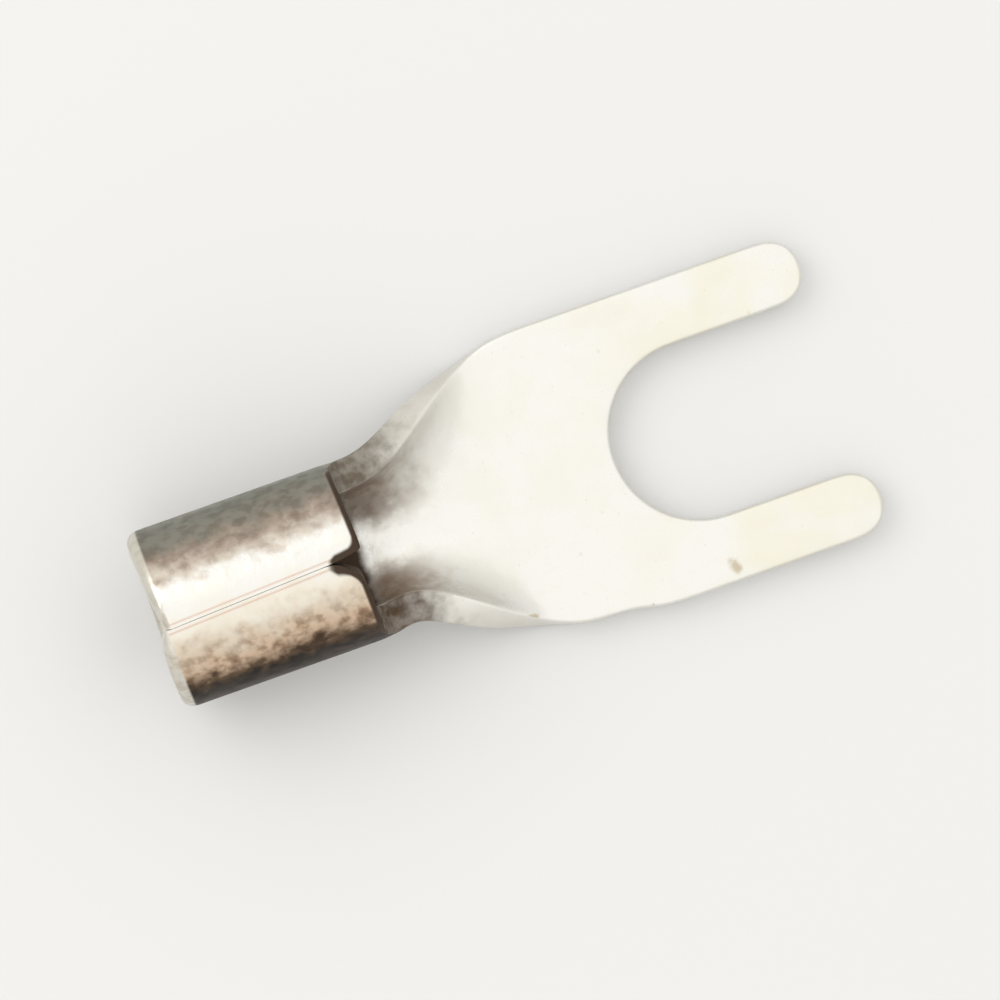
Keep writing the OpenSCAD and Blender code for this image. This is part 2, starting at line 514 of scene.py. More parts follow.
def web_point(spoke, inward):
    """A point between the line of the shoulders and the slot."""
    shoulder = Vector((shoulder_x, fork_half * spoke / NECK_COLUMNS, sheet_t / 2))
    return shoulder.lerp(slot_point(spoke), inward)


for i in range(SLOT_LAYERS):
    inward = (i + 1) / SLOT_LAYERS
    grow_row(terminal, lambda v, m: web_point(column_of(v, m), inward))
    mesh = bmesh.from_edit_mesh(terminal.data)
    layer = mesh.verts.layers.float[INWARD]
    for vertex in mesh.verts:
        if vertex.select:
            vertex[layer] = inward
    bmesh.update_edit_mesh(terminal.data)
print("rows round the slot:", SLOT_LAYERS)

# %% [markdown]
# ## The prongs
#
# Each prong starts from the spoke that joins the shoulder's corner to the slot. It is drawn round the
# rest of the slot, straight along the prong, and round the tip, where the last row lies on the arc.

# %% Stations of a prong
PRONG_ROWS = 4
TIP_ROWS = 3
TIP_BULGE = 0.12
prong_half = (fork_half - slot_r) / 2
prong_y = (fork_half + slot_r) / 2
tip_turn = math.pi / (2 * TIP_ROWS + SLOT_LAYERS)
tip_r = prong_half * ring_grow(tip_turn)
tip_centre_x = tip_x - prong_half
print("width of a prong, in mm:", round(2 * prong_half / MM, 2))


def side_spoke(i):
    """Ends of a spoke beside the slot, at the outer edge and at the slot."""
    outer = Vector((shoulder_x * (1 - i / SIDE_SPOKES), fork_half, sheet_t / 2))
    return outer, slot_point(NECK_COLUMNS + i)


def prong_spoke(i):
    """Ends of a spoke across the straight prong."""
    x = tip_centre_x * i / PRONG_ROWS
    return Vector((x, fork_half, sheet_t / 2)), Vector((x, slot_r, sheet_t / 2))


def tip_point(row, inward):
    """A point of the round tip. The last row's points all lie on the arc."""
    sideways = 1 - 2 * inward
    if row == TIP_ROWS:
        angle = sideways * SLOT_LAYERS * tip_turn / 2
        forward, aside = tip_r * math.cos(angle), tip_r * math.sin(angle)
    else:
        angle = math.pi / 2 - row * tip_turn
        forward = tip_r * math.cos(angle) * (1 + TIP_BULGE * (1 - sideways**2))
        aside = tip_r * math.sin(angle) * sideways
    return Vector((tip_centre_x + forward, prong_y + aside, sheet_t / 2))


# %% Draw out the prongs
def draw_prong(side):
    """Draw one prong out of the corner spoke on the side of y that is named by its sign."""
    corner = side * NECK_COLUMNS
    pick_edges(terminal, lambda v, m: v.co.x > shoulder_x - TINY and column_of(v, m) == corner)

    def set_row(point):
        def where(v, m):
            p = point(share(v, m, INWARD))
            return Vector((p.x, p.y * side, p.z))

        grow_row(terminal, where)

    ends = [side_spoke(i) for i in range(1, SIDE_SPOKES + 1)]
    ends += [prong_spoke(i) for i in range(1, PRONG_ROWS + 1)]
    for outer, inner in ends:
        set_row(lambda inward: outer.lerp(inner, inward))
    for row in range(1, TIP_ROWS + 1):
        set_row(lambda inward: tip_point(row, inward))


for side in (1, -1):
    draw_prong(side)
mesh = bmesh.from_edit_mesh(terminal.data)
print("whole cage:", len(mesh.verts), "points,", len(mesh.faces), "faces")

# %% [markdown]
# ## Faults of the press
#
# On the real terminal the blank went into the roller a little askew, so one rolled edge lies ahead of the
# other, and the seam leans to the left on its way to the front. The corners of the rolled edges are cut
# off, which leaves a notch at the front end of the seam, wider on the right. The neck's right flank was
# drawn in a little further than the left one. A boolean could cut the notch, but a few vertices that are
# moved one by one keep the faces in their rows, which round off better.

# %% Skew the roll and cut its corners
# At the front end of the seam the left wing leans forward and the right one lies back
FRONT_LEAN = 0.15 * MM
FRONT_LAG = 0.10 * MM
SEAM_LEAN = math.radians(5.4)
# The cage is drawn large, and rounding pulls it in less at the seam, so it is trimmed there
SEAM_TRIM = 0.994
LEFT, RIGHT = HALF_COLUMNS, -HALF_COLUMNS
MOUTH, FRONT = 0, len(rows) - 1
NOTCH_TIP = FRONT - 2
# Points near the ends of the seam, by row and column: move along x, and turn from the seam in columns
corners = {
    (FRONT, LEFT): (-0.03 * MM, 0.58),
    (FRONT, LEFT - 1): (0, 0.24),
    (FRONT - 1, LEFT): (0, 0.50),
    (FRONT - 1, LEFT - 1): (0, 0.18),
    (NOTCH_TIP, LEFT - 1): (0, 0.12),
    (FRONT, RIGHT): (0, 0.66),
    (FRONT, RIGHT + 1): (0, 0.12),
    (FRONT - 1, RIGHT): (0, 0.10),
    (FRONT - 1, RIGHT + 1): (0, 0.04),
    (MOUTH, LEFT): (0.06 * MM, 0.12),
    (MOUTH, RIGHT): (0.20 * MM, 0.30),
    (MOUTH, RIGHT + 1): (0.05 * MM, 0),
}


def towards_seam(column):
    """0 where the wing leaves the neck's columns, 1 at the seam, and even across when seen from above."""
    side = math.copysign(1, column)
    start, here, end = (
        side * math.sin(roll_angle(side * c)) for c in (NECK_COLUMNS, abs(column), HALF_COLUMNS)
    )
    return (start - here) / (start - end) if abs(column) > NECK_COLUMNS else 0


def seam_lean(row, column):
    """Turn of the two rolled edges to the left, which grows from the mouth to the notch's tip."""
    if abs(column) < HALF_COLUMNS or row > NOTCH_TIP:
        return 0
    return SEAM_LEAN * (rows[row] - mouth_x) / seam_len


def skewed(row, column, x):
    """Place along x and angle of a barrel point when the roll is askew and its corners are cut."""
    wing = towards_seam(column)
    near_mouth = max(0, 1 - row / len(mouth_rows))
    near_front = max(0, 1 - (FRONT - row) / len(front_rows))
    if column > 0:
        x += (roll_skew * near_mouth + FRONT_LEAN * near_front) * wing
    else:
        x -= FRONT_LAG * near_front * wing
    move, turn = corners.get((row, column), (0, 0))
    angle = roll_angle(column - turn * math.copysign(1, column)) - seam_lean(row, column)
    return x + move, angle


mesh = bmesh.from_edit_mesh(terminal.data)
barrel_points = [(row, v) for row, x in enumerate(rows) for v in mesh.verts if abs(v.co.x - x) < TINY]
angle_layer = mesh.verts.layers.float[ANGLE]
rim_layer = mesh.verts.layers.float[RIM]
end_layer = mesh.verts.layers.float[END]
for row, vertex in barrel_points:
    column = column_of(vertex, mesh)
    x, angle = skewed(row, column, vertex.co.x)
    vertex.co = ring_point(x, angle, cage_r * (SEAM_TRIM if abs(column) == HALF_COLUMNS else 1))
    vertex[angle_layer] = angle
    on_front = row == FRONT and abs(column) > NECK_COLUMNS
    in_notch = row >= NOTCH_TIP and abs(column) == HALF_COLUMNS
    vertex[rim_layer] = row <= MOUTH + 1 or on_front or in_notch
    vertex[end_layer] = row == MOUTH
bmesh.update_edit_mesh(terminal.data)
print("barrel points moved:", len(barrel_points))

# %% Draw in the right flank
FLANK_PUSH = 0.3 * MM
PUSH_RISE = 1.3 * MM
PUSH_FADE = (-3.6 * MM, -2.6 * MM)


def drawn_in(vertex, mesh):
    """Push the right flank towards the middle, most at its edge."""
    outward = max(0, -share(vertex, mesh, ACROSS)) * (1 - share(vertex, mesh, INWARD))
    rise = ease((vertex.co.x - front_x) / PUSH_RISE)
    fade = 1 - ease((vertex.co.x - PUSH_FADE[0]) / (PUSH_FADE[1] - PUSH_FADE[0]))
    return vertex.co + Vector((0, FLANK_PUSH * rise * fade * outward**2, 0))


bpy.ops.mesh.select_all(action="SELECT")
place(terminal, drawn_in)
print("right flank drawn in by up to", round(FLANK_PUSH / MM, 2), "mm")

# %% [markdown]
# ## Thickness and edges
#
# The cage is the middle of the sheet. Solidify gives it its thickness on both sides, and gives the cut
# edges the second of two materials. At the seam it leans the edges by half a column, so they are set
# square to the round again by their angles. The floors of the grooves are then pushed out by a resize
# about the wire's axis. In the same way the mouth's outer edge is drawn in and its inner edge is opened.
# A narrow bevel keeps every cut edge crisp when the Subdivision Surface rounds the rest. Its width goes
# by a weight on each edge, because the two rolled edges butt so closely that the seam is a fine line.

# %% Thicken the sheet
def finish_with(piece, kind, **settings):
    """Add a modifier, set it and apply it."""
    modifier = piece.modifiers.new(kind.lower(), kind)
    for name, value in settings.items():
        setattr(modifier, name, value)
    bpy.ops.object.modifier_apply(modifier=modifier.name)


plate = bpy.data.materials.new("tin_plate")
cut_edge = bpy.data.materials.new("cut_edge")
terminal.data.materials.append(plate)
terminal.data.materials.append(cut_edge)
bpy.ops.mesh.select_all(action="SELECT")
bpy.ops.mesh.normals_make_consistent(inside=False)
bpy.ops.object.mode_set(mode="OBJECT")
finish_with(
    terminal,
    "SOLIDIFY",
    thickness=sheet_t,
    offset=0,
    use_even_offset=True,
    use_quality_normals=True,
    material_offset_rim=1,
)
print("sheet with its thickness:", len(terminal.data.polygons), "faces")

# %% Shape the mouth and press the grooves
MOUTH_OUTER = 0.92
MOUTH_INNER = 1.12
GROOVE_DEPTH = 0.2 * MM
ROW_REACH = 0.02 * MM


def axis_distance(vertex):
    """Distance of a vertex from the wire's axis."""
    return math.hypot(vertex.co.y, vertex.co.z - axis_z)


def on_inside(vertex):
    """True for a vertex on the inner side of the rolled sheet."""
    return axis_distance(vertex) < fold_r


def on_end(vertex, mesh):
    """True for a vertex on the mouth's end."""
    return share(vertex, mesh, END) == 1


def resize_about_axis(piece, wanted, factor):
    """Resize the wanted vertices about the wire's axis, and return how many there are."""
    bpy.ops.mesh.select_mode(type="VERT")
    bpy.ops.mesh.select_all(action="DESELECT")
    mesh = bmesh.from_edit_mesh(piece.data)
    chosen = [v for v in mesh.verts if wanted(v, mesh)]
    for vertex in chosen:
        vertex.select_set(True)
    bmesh.update_edit_mesh(piece.data)
    bpy.ops.transform.resize(value=(1, factor, factor), center_override=(0, 0, axis_z))
    return len(chosen)


def on_groove_floor(vertex, mesh):
    """True for a vertex inside the barrel at the floor of a groove."""
    return on_inside(vertex) and any(abs(vertex.co.x - x) < ROW_REACH for x in floors)


edit(terminal)
mesh = bmesh.from_edit_mesh(terminal.data)
for vertex in mesh.verts:
    if abs(column_of(vertex, mesh)) == HALF_COLUMNS:
        vertex.co = ring_point(vertex.co.x, share(vertex, mesh, ANGLE), axis_distance(vertex))
bmesh.update_edit_mesh(terminal.data)
floors = [mouth_x + mid + edge for mid in groove_mids for edge in (-groove_floor, groove_floor)]
pressed = resize_about_axis(terminal, on_groove_floor, 1 + GROOVE_DEPTH / bore_r)
outer = resize_about_axis(terminal, lambda v, m: on_end(v, m) and not on_inside(v), MOUTH_OUTER)
inner = resize_about_axis(terminal, lambda v, m: on_end(v, m) and on_inside(v), MOUTH_INNER)
bpy.ops.object.mode_set(mode="OBJECT")
print("mouth points:", outer, "outside,", inner, "inside; groove points:", pressed)

# %% Break the edges and round the cage
EDGE_BREAK = 0.12 * MM
EDGE_ANGLE = math.radians(56)
SEAM_WEIGHT = 0.08
ROUND_LEVELS = 2
ALONG_SHARE = 0.7


def on_seam(edge, mesh):
    """True for an edge that runs along the seam."""
    start, end = edge.verts
    runs_along = abs(start.co.x - end.co.x) > ALONG_SHARE * edge.calc_length()
    return runs_along and all(abs(column_of(v, mesh)) == HALF_COLUMNS for v in edge.verts)


edit(terminal)
mesh = bmesh.from_edit_mesh(terminal.data)
layer = mesh.edges.layers.float.new("bevel_weight_edge")
sharp = [e for e in mesh.edges if e.calc_face_angle() > EDGE_ANGLE]
for edge in sharp:
    edge[layer] = SEAM_WEIGHT if on_seam(edge, mesh) else 1
print("edges to break:", len(sharp))
bmesh.update_edit_mesh(terminal.data)
bpy.ops.object.mode_set(mode="OBJECT")
finish_with(terminal, "BEVEL", width=EDGE_BREAK, segments=2, limit_method="WEIGHT")
finish_with(terminal, "SUBSURF", levels=ROUND_LEVELS, render_levels=ROUND_LEVELS)
bpy.ops.object.shade_smooth()
for name in (ACROSS, INWARD, ANGLE, END):
    terminal.data.attributes.remove(terminal.data.attributes[name])
print("finished piece:", len(terminal.data.polygons), "faces")

# %% [markdown]
# ## Worn tin
#
# Tin goes on as a thin bright coat and dulls with handling. Up close it isn't even: it has soft lumps
# that make the edge of each reflection ragged, cloudy patches that are duller and warmer, and small
# specks where it is pitted. Both the plate's faces and its cut edges show this, so it is one node group,
# placed in each material with its own values. All its sizes are in millimetres.

# %% Texture helpers
def in_millimetres(tree):
    """Object coordinates in millimetres."""
    coordinates = tree.nodes.new("ShaderNodeTexCoord").outputs["Object"]
    return vector_calc(tree, "MULTIPLY", coordinates, (1 / MM, 1 / MM, 1 / MM))


def split(tree, vector):
    """The x, y and z of a vector."""
    node = tree.nodes.new("ShaderNodeSeparateXYZ")
    feed(tree, vector, node.inputs["Vector"])
    return node.outputs


def noise(tree, at, per_mm, detail):
    """Noise around 0.5, with a feature size given as a number per millimetre."""
    node = tree.nodes.new("ShaderNodeTexNoise")
    feed(tree, at, node.inputs["Vector"])
    node.inputs["Scale"].default_value = per_mm
    node.inputs["Detail"].default_value = detail
    return node.outputs["Fac"]


def luminance(tree, colour):
    """How light a colour is."""
    node = tree.nodes.new("ShaderNodeRGBToBW")
    feed(tree, colour, node.inputs["Color"])
    return node.outputs["Val"]


# Share of a speck's radius within which its mask is full
SPECK_CORE = 0.4


def specks(tree, at, per_mm, radius, kept):
    """Mask of small round specks, in a share of the cells of a Voronoi texture."""
    node = tree.nodes.new("ShaderNodeTexVoronoi")
    feed(tree, at, node.inputs["Vector"])
    node.inputs["Scale"].default_value = per_mm
    pick = tree.nodes.new("ShaderNodeSeparateColor")
    feed(tree, node.outputs["Color"], pick.inputs["Color"])
    chosen = calc(tree, "LESS_THAN", pick.outputs["Red"], kept)
    dot = ramp(tree, node.outputs["Distance"], radius * per_mm, SPECK_CORE * radius * per_mm)
    return calc(tree, "MULTIPLY", dot, chosen)


# %% Group helper
COLOUR, VALUE = "NodeSocketColor", "NodeSocketFloat"


def new_group(name, inputs, outputs):
    """An empty node group, with the sockets in it that bring its inputs and take its outputs."""
    group = bpy.data.node_groups.new(name, "ShaderNodeTree")
    for title, kind in inputs.items():
        group.interface.new_socket(title, in_out="INPUT", socket_type=kind)
    for title, kind in outputs.items():
        group.interface.new_socket(title, in_out="OUTPUT", socket_type=kind)
    given = group.nodes.new("NodeGroupInput").outputs
    return group, given, group.nodes.new("NodeGroupOutput").inputs


# %% Values of the tin's wear
LUMPS_PER_MM = 2.2
GRAIN_PER_MM = 7.0
CLOUDS_PER_MM = 0.55
# Each size of pit: cells per millimetre, radius in millimetres, and the share of the cells that have one
PITS = ((1.9, 0.09, 0.10), (5.0, 0.045, 0.10))
# Values of the noise between which clouds and lumps set in
CLOUD_STEP = (0.42, 0.66)
LUMP_STEP = (0.5, 0.75)
LUMP_HEIGHT = 0.016
GRAIN_HEIGHT = 0.003
PIT_DEPTH = 0.002
# How far lumps dull the tin, how far a pit takes its tint, and the gloss that dulling and pits take away
LUMP_SHARE = 0.6
PIT_TINT_SHARE = 0.35
DULL_LOSS = 0.10
PIT_LOSS = 0.10
print("sizes of pit:", len(PITS))

# %% The group: tin wear
wear, given, result = new_group(
    "tin_wear",
    {"Bright": COLOUR, "Dull": COLOUR, "Speck": COLOUR, "Clouding": VALUE, "Gloss Loss": VALUE},
    {"Color": COLOUR, "Roughness": VALUE, "Height": VALUE},
)
at = in_millimetres(wear)
lumps = noise(wear, at, LUMPS_PER_MM, detail=3.0)
grain = noise(wear, at, GRAIN_PER_MM, detail=2.0)
clouds = noise(wear, at, CLOUDS_PER_MM, detail=4.0)
pits = calc(wear, "MAXIMUM", *(specks(wear, at, *pit) for pit in PITS))
cloud_mask = calc(wear, "MULTIPLY", ramp(wear, clouds, *CLOUD_STEP), given["Clouding"])
lump_mask = calc(wear, "MULTIPLY", ramp(wear, lumps, *LUMP_STEP), given["Clouding"])
dulled = calc(wear, "MAXIMUM", cloud_mask, calc(wear, "MULTIPLY", lump_mask, LUMP_SHARE))
clouded = blend(wear, dulled, given["Bright"], given["Dull"])
pit_tint = calc(wear, "MULTIPLY", pits, PIT_TINT_SHARE)
feed(wear, blend(wear, pit_tint, clouded, given["Speck"]), result["Color"])
loss = calc(wear, "MULTIPLY_ADD", dulled, DULL_LOSS, calc(wear, "MULTIPLY", pits, PIT_LOSS))
feed(wear, calc(wear, "ADD", loss, given["Gloss Loss"]), result["Roughness"])
height = calc(wear, "MULTIPLY", lumps, LUMP_HEIGHT)
height = calc(wear, "MULTIPLY_ADD", grain, GRAIN_HEIGHT, height)
height = calc(wear, "MULTIPLY_ADD", pits, -PIT_DEPTH, height)
feed(wear, height, result["Height"])
print("group tin_wear:", len(wear.nodes), "nodes")

# %% [markdown]
# A second group holds the dark patch that spreads from the barrel along the neck's two walls: partly
# stain, partly painted shade cast by the barrel. It gives a mask for each side, because the plate and its
# cut edges take different tints there. One noise frays the end of the patch and its border on the wall,
# and a finer one makes it patchy.

# %% The group: neck stain and painted shade
# Each side of the neck: its sign, how far ahead of the barrel the stain and painted shade reach, and where
# they start
NECK_SIDES = {"Left": (1, 3.3, 0.2), "Right": (-1, 2.9, 0.4)}
WALL_BORDER = 1.0
FULL_SHARE = 0.2
FRAYS_PER_MM = 2.0
FRAY_AHEAD = 2.0
FRAY_ASIDE = 1.2
BLOTCHES_PER_MM = 2.6
BLOTCH_STEP = (0.35, 0.65)
BLOTCH_DEPTH = 0.18
# Where the stain and painted shade set in and where they are full, from the barrel's front
STAIN_FROM, STAIN_FULL = -0.5, -0.1
front_mm = front_x / MM

neck_stain_and_shade, _, result = new_group("neck_stain_and_shade", {}, {"Left": VALUE, "Right": VALUE})
at = in_millimetres(neck_stain_and_shade)
x, y, _ = split(neck_stain_and_shade, at)
frays = calc(neck_stain_and_shade, "SUBTRACT", noise(neck_stain_and_shade, at, FRAYS_PER_MM, detail=5.0), 0.5)
ahead = calc(neck_stain_and_shade, "MULTIPLY_ADD", frays, FRAY_AHEAD, x)
blotches = ramp(neck_stain_and_shade, noise(neck_stain_and_shade, at, BLOTCHES_PER_MM, detail=5.0), *BLOTCH_STEP)
patchy = calc(neck_stain_and_shade, "MULTIPLY_ADD", blotches, BLOTCH_DEPTH, 1 - BLOTCH_DEPTH)
past_barrel = ramp(neck_stain_and_shade, x, front_mm + STAIN_FROM, front_mm + STAIN_FULL)
patchy = calc(neck_stain_and_shade, "MULTIPLY", patchy, past_barrel)
for name, (side, reach, start) in NECK_SIDES.items():
    near = ramp(neck_stain_and_shade, ahead, front_mm + reach, front_mm + FULL_SHARE * reach)
    outward = calc(neck_stain_and_shade, "MULTIPLY", y, side)
    outward = calc(neck_stain_and_shade, "MULTIPLY_ADD", frays, FRAY_ASIDE, outward)
    on_wall = ramp(neck_stain_and_shade, outward, start, start + WALL_BORDER)
    spread = calc(neck_stain_and_shade, "MULTIPLY", near, on_wall)
    feed(neck_stain_and_shade, calc(neck_stain_and_shade, "MULTIPLY", spread, patchy), result[name])
print("group neck_stain_and_shade:", len(neck_stain_and_shade.nodes), "nodes")

# %% [markdown]
# Both materials are put together in the same way: the wear's colour is multiplied by a tint that holds
# both the stains and the painted shade. Where the tint is dark the surface is taken to be no longer bare
# metal, so it is rougher and less metallic. Both also need to know the barrel's two rims, which the number
# on each vertex marks.

# %% Material helpers
DULL_METAL = -0.8
DULL_ROUGHNESS = 0.2
DULL_SHINE = 0.15
# Values of the number on a vertex between which a rim sets in
RIM_STEP = (0.45, 0.75)
# Where the front rim's brown and painted shade set in and where they are full, from the barrel's front
FRONT_FROM, FRONT_FULL = -1.2, -0.8


def place_group(tree, group, **values):
    """Place a group in a material, with its own values, and return its outputs."""
    node = tree.nodes.new("ShaderNodeGroup")
    node.node_tree = group
    for name, value in values.items():
        node.inputs[name.replace("_", " ")].default_value = value
    return node.outputs


def rim_masks(tree, x):
    """Mask of the barrel's two rims, and a mask that is 1 from just behind its front end."""
    rim = tree.nodes.new("ShaderNodeAttribute")
    rim.attribute_name = RIM
    on_rim = ramp(tree, rim.outputs["Fac"], *RIM_STEP)
    return on_rim, ramp(tree, x, front_mm + FRONT_FROM, front_mm + FRONT_FULL)


def dress(material, worn, tint, height):
    """Make a material of worn tin under a tint. Where the tint is dark, it is duller and less metallic."""
    tree = material.node_tree
    skin = tree.nodes["Principled BSDF"]
    skin.inputs["Specular IOR Level"].default_value = DULL_SHINE
    darkness = calc(tree, "SUBTRACT", 1, luminance(tree, tint))
    metal = calc(tree, "MULTIPLY_ADD", darkness, DULL_METAL, 1)
    roughness = calc(tree, "MULTIPLY_ADD", darkness, DULL_ROUGHNESS, worn["Roughness"])
    feed(tree, blend(tree, 1.0, worn["Color"], tint, "MULTIPLY"), skin.inputs["Base Color"])
    feed(tree, metal, skin.inputs["Metallic"])
    feed(tree, roughness, skin.inputs["Roughness"])
    bump = tree.nodes.new("ShaderNodeBump")
    bump.inputs["Distance"].default_value = MM
    feed(tree, height, bump.inputs["Height"])
    feed(tree, bump.outputs["Normal"], skin.inputs["Normal"])


# %% [markdown]
# ## Tarnish and painted shade on the plate
#
# The tongue stayed bright, but the barrel is dark along its sides: brown on the right of the seam, and
# pinkish and then grey-green down the left. This is partly tarnish and partly painted shade and dark
# reflections, darkest low on the right. These tints could be painted on a picture, but they follow the
# round of the barrel, so a Color Ramp that reads the angle from its top is enough. A little noise on that
# angle makes their borders ragged, and a finer one mottles them, less so on the left.
#
# Each cell after that lays one more tint over the last: two faint lines along the seam, painted shade in
# the bore, the rubbed rim of the mouth and the front rim, brown with painted shade, the stains and painted
# shade on the neck's walls, a faint yellow on the fork, and a few brown spots along its right edge.

# %% Tarnish and painted shade round the barrel
# Tint of the tin at each angle from the barrel's top, in degrees, positive to the left. The dark tints
# down both sides are partly tarnish and partly painted shade and dark reflections, darkest low on the
# right
BARREL_TARNISH_AND_SHADE = (
    (-172, (1.00, 0.96, 0.90)),
    (-140, (0.52, 0.45, 0.38)),
    (-100, (0.11, 0.085, 0.062)),
    (-62, (0.030, 0.021, 0.014)),
    (-51, (0.15, 0.095, 0.055)),
    (-40, (0.82, 0.62, 0.47)),
    (-26, (0.90, 0.78, 0.66)),
    (-14, (1.00, 0.95, 0.87)),
    (0, (1.00, 1.00, 1.00)),
    (16, (1.00, 1.00, 1.00)),
    (23, (0.82, 0.75, 0.69)),
    (31, (0.60, 0.51, 0.45)),
    (38, (0.44, 0.37, 0.32)),
    (47, (0.33, 0.31, 0.27)),
    (70, (0.25, 0.255, 0.225)),
    (120, (0.55, 0.54, 0.48)),
    (150, (1.00, 0.96, 0.90)),
)
RAGGED_DEG = 32
RAGGED_PER_MM = 1.7


def share_of_turn(degrees):
    """Place of an angle on a ramp that runs once round the barrel, with its top in the middle."""
    return degrees / 360 + 0.5


plate.use_nodes = True
tree = plate.node_tree
at = in_millimetres(tree)
x, y, z = split(tree, at)
above_axis = calc(tree, "SUBTRACT", z, axis_z / MM)
even_angle = calc(tree, "ARCTAN2", y, above_axis)
ragged = calc(tree, "SUBTRACT", noise(tree, at, RAGGED_PER_MM, detail=4.0), 0.5)
angle = calc(tree, "MULTIPLY_ADD", ragged, math.radians(RAGGED_DEG), even_angle)
# Ramp of tarnish and painted shade by the angle round the barrel
barrel_tarnish_and_shade = tree.nodes.new("ShaderNodeValToRGB")
feed(tree, calc(tree, "MULTIPLY_ADD", angle, 1 / math.tau, 0.5), barrel_tarnish_and_shade.inputs["Fac"])
stops = barrel_tarnish_and_shade.color_ramp.elements
while len(stops) < len(BARREL_TARNISH_AND_SHADE):
    stops.new(0.5)
for stop, (degrees, tint) in zip(stops, BARREL_TARNISH_AND_SHADE):
    stop.position = share_of_turn(degrees)
    stop.color = (*tint, 1)
print("stops of tarnish round the barrel:", len(stops))

# %% Mottle the tarnish and painted shade
MOTTLE_TINT = (0.46, 0.40, 0.36, 1)
LEFT_MOTTLE = 0.5
# Between these values mottling sets in: the darkness of the tarnish and painted shade, and the noise that
# makes the blotches
TARNISH_AND_SHADE_STEP = (0.03, 0.40)
MOTTLE_STEP = (0.40, 0.66)
# Between these angles from the top it turns softer, in radians to the left
SOFTER_STEP = (-0.2, 0.4)

dark_share = calc(tree, "SUBTRACT", 1, luminance(tree, barrel_tarnish_and_shade.outputs["Color"]))
tarnished_and_shaded = ramp(tree, dark_share, *TARNISH_AND_SHADE_STEP)
softer = calc(tree, "MULTIPLY_ADD", ramp(tree, even_angle, *SOFTER_STEP), LEFT_MOTTLE - 1, 1)
blotchy = ramp(tree, noise(tree, at, BLOTCHES_PER_MM, detail=5.0), *MOTTLE_STEP)
blotches = calc(tree, "MULTIPLY", blotchy, softer)
mottled = calc(tree, "MULTIPLY", blotches, tarnished_and_shaded)
tarnish_and_shade = blend(tree, mottled, barrel_tarnish_and_shade.outputs["Color"], MOTTLE_TINT, "MULTIPLY")
print("mottle on the left is", LEFT_MOTTLE, "of that on the right")

# %% Lines along the seam
SEAM_TINT = (0.88, 0.72, 0.66, 1)
SEAM_LINE_DEG = 2.7
SEAM_LINE_HALF_DEG = 1.2

lean_per_mm = SEAM_LEAN / (seam_len / MM)
seam_at = calc(tree, "MULTIPLY_ADD", x, lean_per_mm, -seam_turn - lean_per_mm * mouth_x / MM)
off_seam = calc(tree, "ABSOLUTE", calc(tree, "SUBTRACT", even_angle, seam_at))
off_line = calc(tree, "ABSOLUTE", calc(tree, "SUBTRACT", off_seam, math.radians(SEAM_LINE_DEG)))
line = ramp(tree, off_line, math.radians(SEAM_LINE_HALF_DEG), 0)
tarnish_and_shade = blend(tree, line, tarnish_and_shade, SEAM_TINT, "MULTIPLY")
print("seam leans by", round(math.degrees(lean_per_mm), 2), "degrees per mm")

# %% Painted shade in the bore, and end of the barrel
CLEAN = (1, 1, 1, 1)
# Painted shade inside the barrel's bore, where little light gets in
BORE_PAINTED_SHADE = (0.09, 0.058, 0.037, 1)
# How far past the barrel's front the tarnish and painted shade fade, on the sheet's inside and outside
INNER_FADE = 0.35
OUTER_FADE = 2.4
# Where the fade starts, how frayed it is, and half the width of the border between inside and outside
FADE_START = -0.05
FADE_FRAY = 0.5
BORE_BORDER = 0.2

squared_y = calc(tree, "MULTIPLY", y, y)
squared_z = calc(tree, "MULTIPLY", above_axis, above_axis)
off_axis = calc(tree, "POWER", calc(tree, "ADD", squared_y, squared_z), 0.5)
in_bore = ramp(tree, off_axis, fold_r / MM + BORE_BORDER, fold_r / MM - BORE_BORDER)
fade_end = calc(tree, "MULTIPLY_ADD", in_bore, INNER_FADE - OUTER_FADE, front_mm + OUTER_FADE)
frayed_x = calc(tree, "MULTIPLY_ADD", ragged, FADE_FRAY, x)
on_barrel = ramp(tree, frayed_x, fade_end, front_mm + FADE_START)
tint = blend(tree, on_barrel, CLEAN, blend(tree, in_bore, tarnish_and_shade, BORE_PAINTED_SHADE))
print("tarnish ends at x, in mm:", round(front_mm + OUTER_FADE, 2))

# %% Rims of the barrel
MOUTH_TINT = (0.91, 0.89, 0.84, 1)
MOUTH_SHADE = (0.70, 0.65, 0.58, 1)
# The front rim is dark: partly a brown cut edge, partly painted shade in the gap between the barrel and
# the neck
FRONT_RIM_STAIN_AND_SHADE = (0.07, 0.045, 0.03, 1)

on_rim, at_front = rim_masks(tree, x)
mouth_tint = blend(tree, blotches, MOUTH_TINT, MOUTH_SHADE)
tint = blend(tree, on_rim, tint, blend(tree, at_front, mouth_tint, FRONT_RIM_STAIN_AND_SHADE))
print("nodes up to the rims:", len(tree.nodes))

# %% Stain and painted shade on the neck
# Tints of the neck's walls near the barrel: partly stain, partly painted shade
LEFT_NECK_STAIN_AND_SHADE = (0.33, 0.255, 0.205, 1)
RIGHT_NECK_STAIN_AND_SHADE = (0.42, 0.305, 0.23, 1)

off_barrel = calc(tree, "SUBTRACT", 1, on_barrel)
stain_and_shade = place_group(tree, neck_stain_and_shade)
tint = blend(tree, calc(tree, "MULTIPLY", stain_and_shade["Left"], off_barrel), tint, LEFT_NECK_STAIN_AND_SHADE)
tint = blend(tree, calc(tree, "MULTIPLY", stain_and_shade["Right"], off_barrel), tint, RIGHT_NECK_STAIN_AND_SHADE)
print("stain reaches along the neck, in mm:", [reach for _, reach, _ in NECK_SIDES.values()])

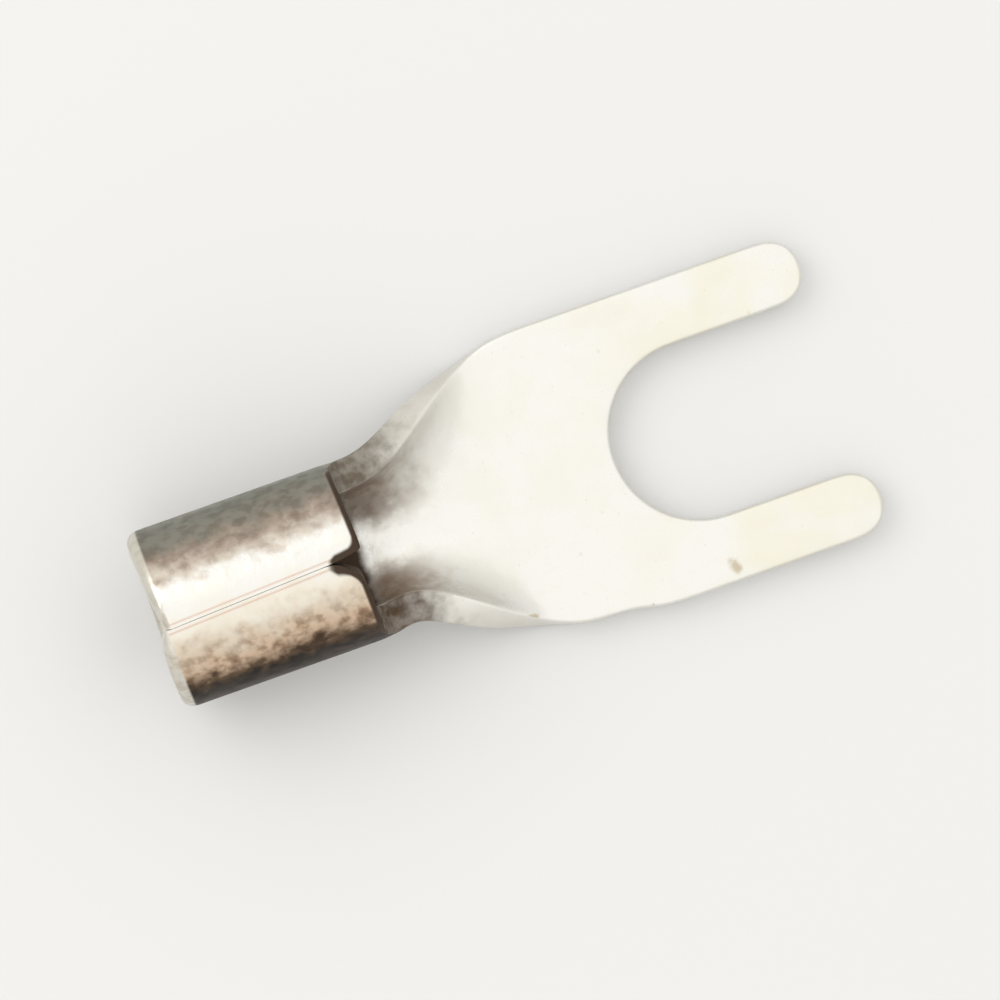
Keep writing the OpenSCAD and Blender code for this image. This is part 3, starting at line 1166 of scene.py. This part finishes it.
# %% Yellowing of the fork
YELLOW_TINT = (1.00, 0.985, 0.91, 1)
YELLOW_FROM, YELLOW_FULL = -5.0, 1.0
PATCHES_PER_MM = 0.45
PATCH_STEP = (0.40, 0.62)

patches = ramp(tree, noise(tree, at, PATCHES_PER_MM, detail=2.0), *PATCH_STEP)
yellowed = calc(tree, "MULTIPLY", patches, ramp(tree, x, YELLOW_FROM, YELLOW_FULL))
tint = blend(tree, yellowed, tint, YELLOW_TINT, "MULTIPLY")
print("yellow is full from x, in mm:", YELLOW_FULL)

# %% Spots
SPOT_TINT = (0.70, 0.63, 0.50, 1)
SPOT_FRAY = 3.0
SPOT_EDGE, SPOT_CORE = 1.3, 0.5
# Each spot: its place in x, y and z, and its radius along x and across, in millimetres
SPOTS = (
    ((-0.3, -4.35, 1.0), 0.20, 0.24),
    ((-3.1, -4.59, 1.0), 0.07, 0.07),
    ((-6.8, -3.75, 1.3), 0.28, 0.12),
)

for place_mm, along_x, aside_y in SPOTS:
    radii = Vector((along_x, aside_y, along_x))
    centre = [p / r for p, r in zip(place_mm, radii)]
    off_centre = vector_calc(tree, "DISTANCE", vector_calc(tree, "DIVIDE", at, radii), centre, "Value")
    reach = calc(tree, "MULTIPLY_ADD", ragged, SPOT_FRAY, off_centre)
    tint = blend(tree, ramp(tree, reach, SPOT_EDGE, SPOT_CORE), tint, SPOT_TINT)
print("spots on the fork:", len(SPOTS))

# %% Plate
tin = place_group(
    tree,
    wear,
    Bright=(0.735, 0.725, 0.69, 1),
    Dull=(0.715, 0.695, 0.635, 1),
    Speck=(0.60, 0.56, 0.50, 1),
    Clouding=0.6,
    Gloss_Loss=0.26,
)
dress(plate, tin, tint, tin["Height"])
print("material tin_plate:", len(tree.nodes), "nodes")

# %% [markdown]
# ## Cut edges
#
# The die shears the sheet and leaves fine streaks down its edges, and the plating is thinner there. The
# same wear is placed with duller values, and a noise that is stretched along the sheet's thickness adds
# the streaks. Close to the barrel the edges take the same stain and painted shade as the walls beside
# them, only darker.

# %% Cut edges
STREAK_HEIGHT = 0.005
STREAKS_PER_MM = 9.0
STREAK_STRETCH = (1.0, 1.0, 0.12)
# Tints of the cut edges near the barrel: partly stain, partly painted shade, darkest on the right
LEFT_EDGE_STAIN_AND_SHADE = (0.19, 0.16, 0.128, 1)
RIGHT_EDGE_STAIN_AND_SHADE = (0.11, 0.072, 0.046, 1)

cut_edge.use_nodes = True
tree = cut_edge.node_tree
at = in_millimetres(tree)
streaks = noise(tree, vector_calc(tree, "MULTIPLY", at, STREAK_STRETCH), STREAKS_PER_MM, detail=2.0)
worn = place_group(
    tree,
    wear,
    Bright=(0.78, 0.765, 0.72, 1),
    Dull=(0.70, 0.67, 0.60, 1),
    Speck=(0.52, 0.47, 0.40, 1),
    Clouding=0.7,
    Gloss_Loss=0.42,
)
stain_and_shade = place_group(tree, neck_stain_and_shade)
edge_tint = blend(tree, stain_and_shade["Left"], CLEAN, LEFT_EDGE_STAIN_AND_SHADE)
edge_tint = blend(tree, stain_and_shade["Right"], edge_tint, RIGHT_EDGE_STAIN_AND_SHADE)
on_rim, at_front = rim_masks(tree, split(tree, at)["X"])
# The front rim's brown and painted shade lie on the cut edges too
edge_tint = blend(tree, calc(tree, "MULTIPLY", on_rim, at_front), edge_tint, FRONT_RIM_STAIN_AND_SHADE)
dress(cut_edge, worn, edge_tint, calc(tree, "MULTIPLY_ADD", streaks, STREAK_HEIGHT, worn["Height"]))
print("material cut_edge:", len(tree.nodes), "nodes")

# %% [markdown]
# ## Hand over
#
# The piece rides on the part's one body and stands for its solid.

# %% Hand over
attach(terminal, "root")
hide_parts("fork_terminal")
